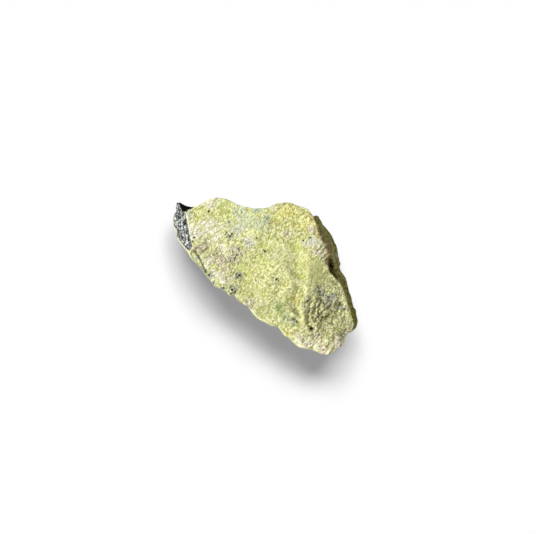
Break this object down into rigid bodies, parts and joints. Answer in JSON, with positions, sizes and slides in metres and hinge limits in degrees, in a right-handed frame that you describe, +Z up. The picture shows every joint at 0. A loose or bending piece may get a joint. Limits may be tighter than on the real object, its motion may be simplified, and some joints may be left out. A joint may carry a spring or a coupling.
{
  "type": "raw serpentine",
  "caption": "Rough broken lump of pale yellow-green stone, long and low, with a blunt nose, a steep dark side and a dark band at its pointed end; it lies on a flat face.",
  "frame": {"origin": "middle of the footprint, on the flat face that the lump lies on", "axes": "+X along the length, from the dark pointed end to the blunt nose; +Y towards the peak; +Z up from the flat face"},
  "size_m": [0.066, 0.036, 0.022],
  "materials": {
    "serpentine": "raw broken stone, dull and granular: pale yellow-green with cream, jade and pinkish patches, black grains, a grey-black band at the pointed end and a brown-olive side"
  },
  "bodies": {
    "root": {"stone": "serpentine"}
  },
  "joints": []
}
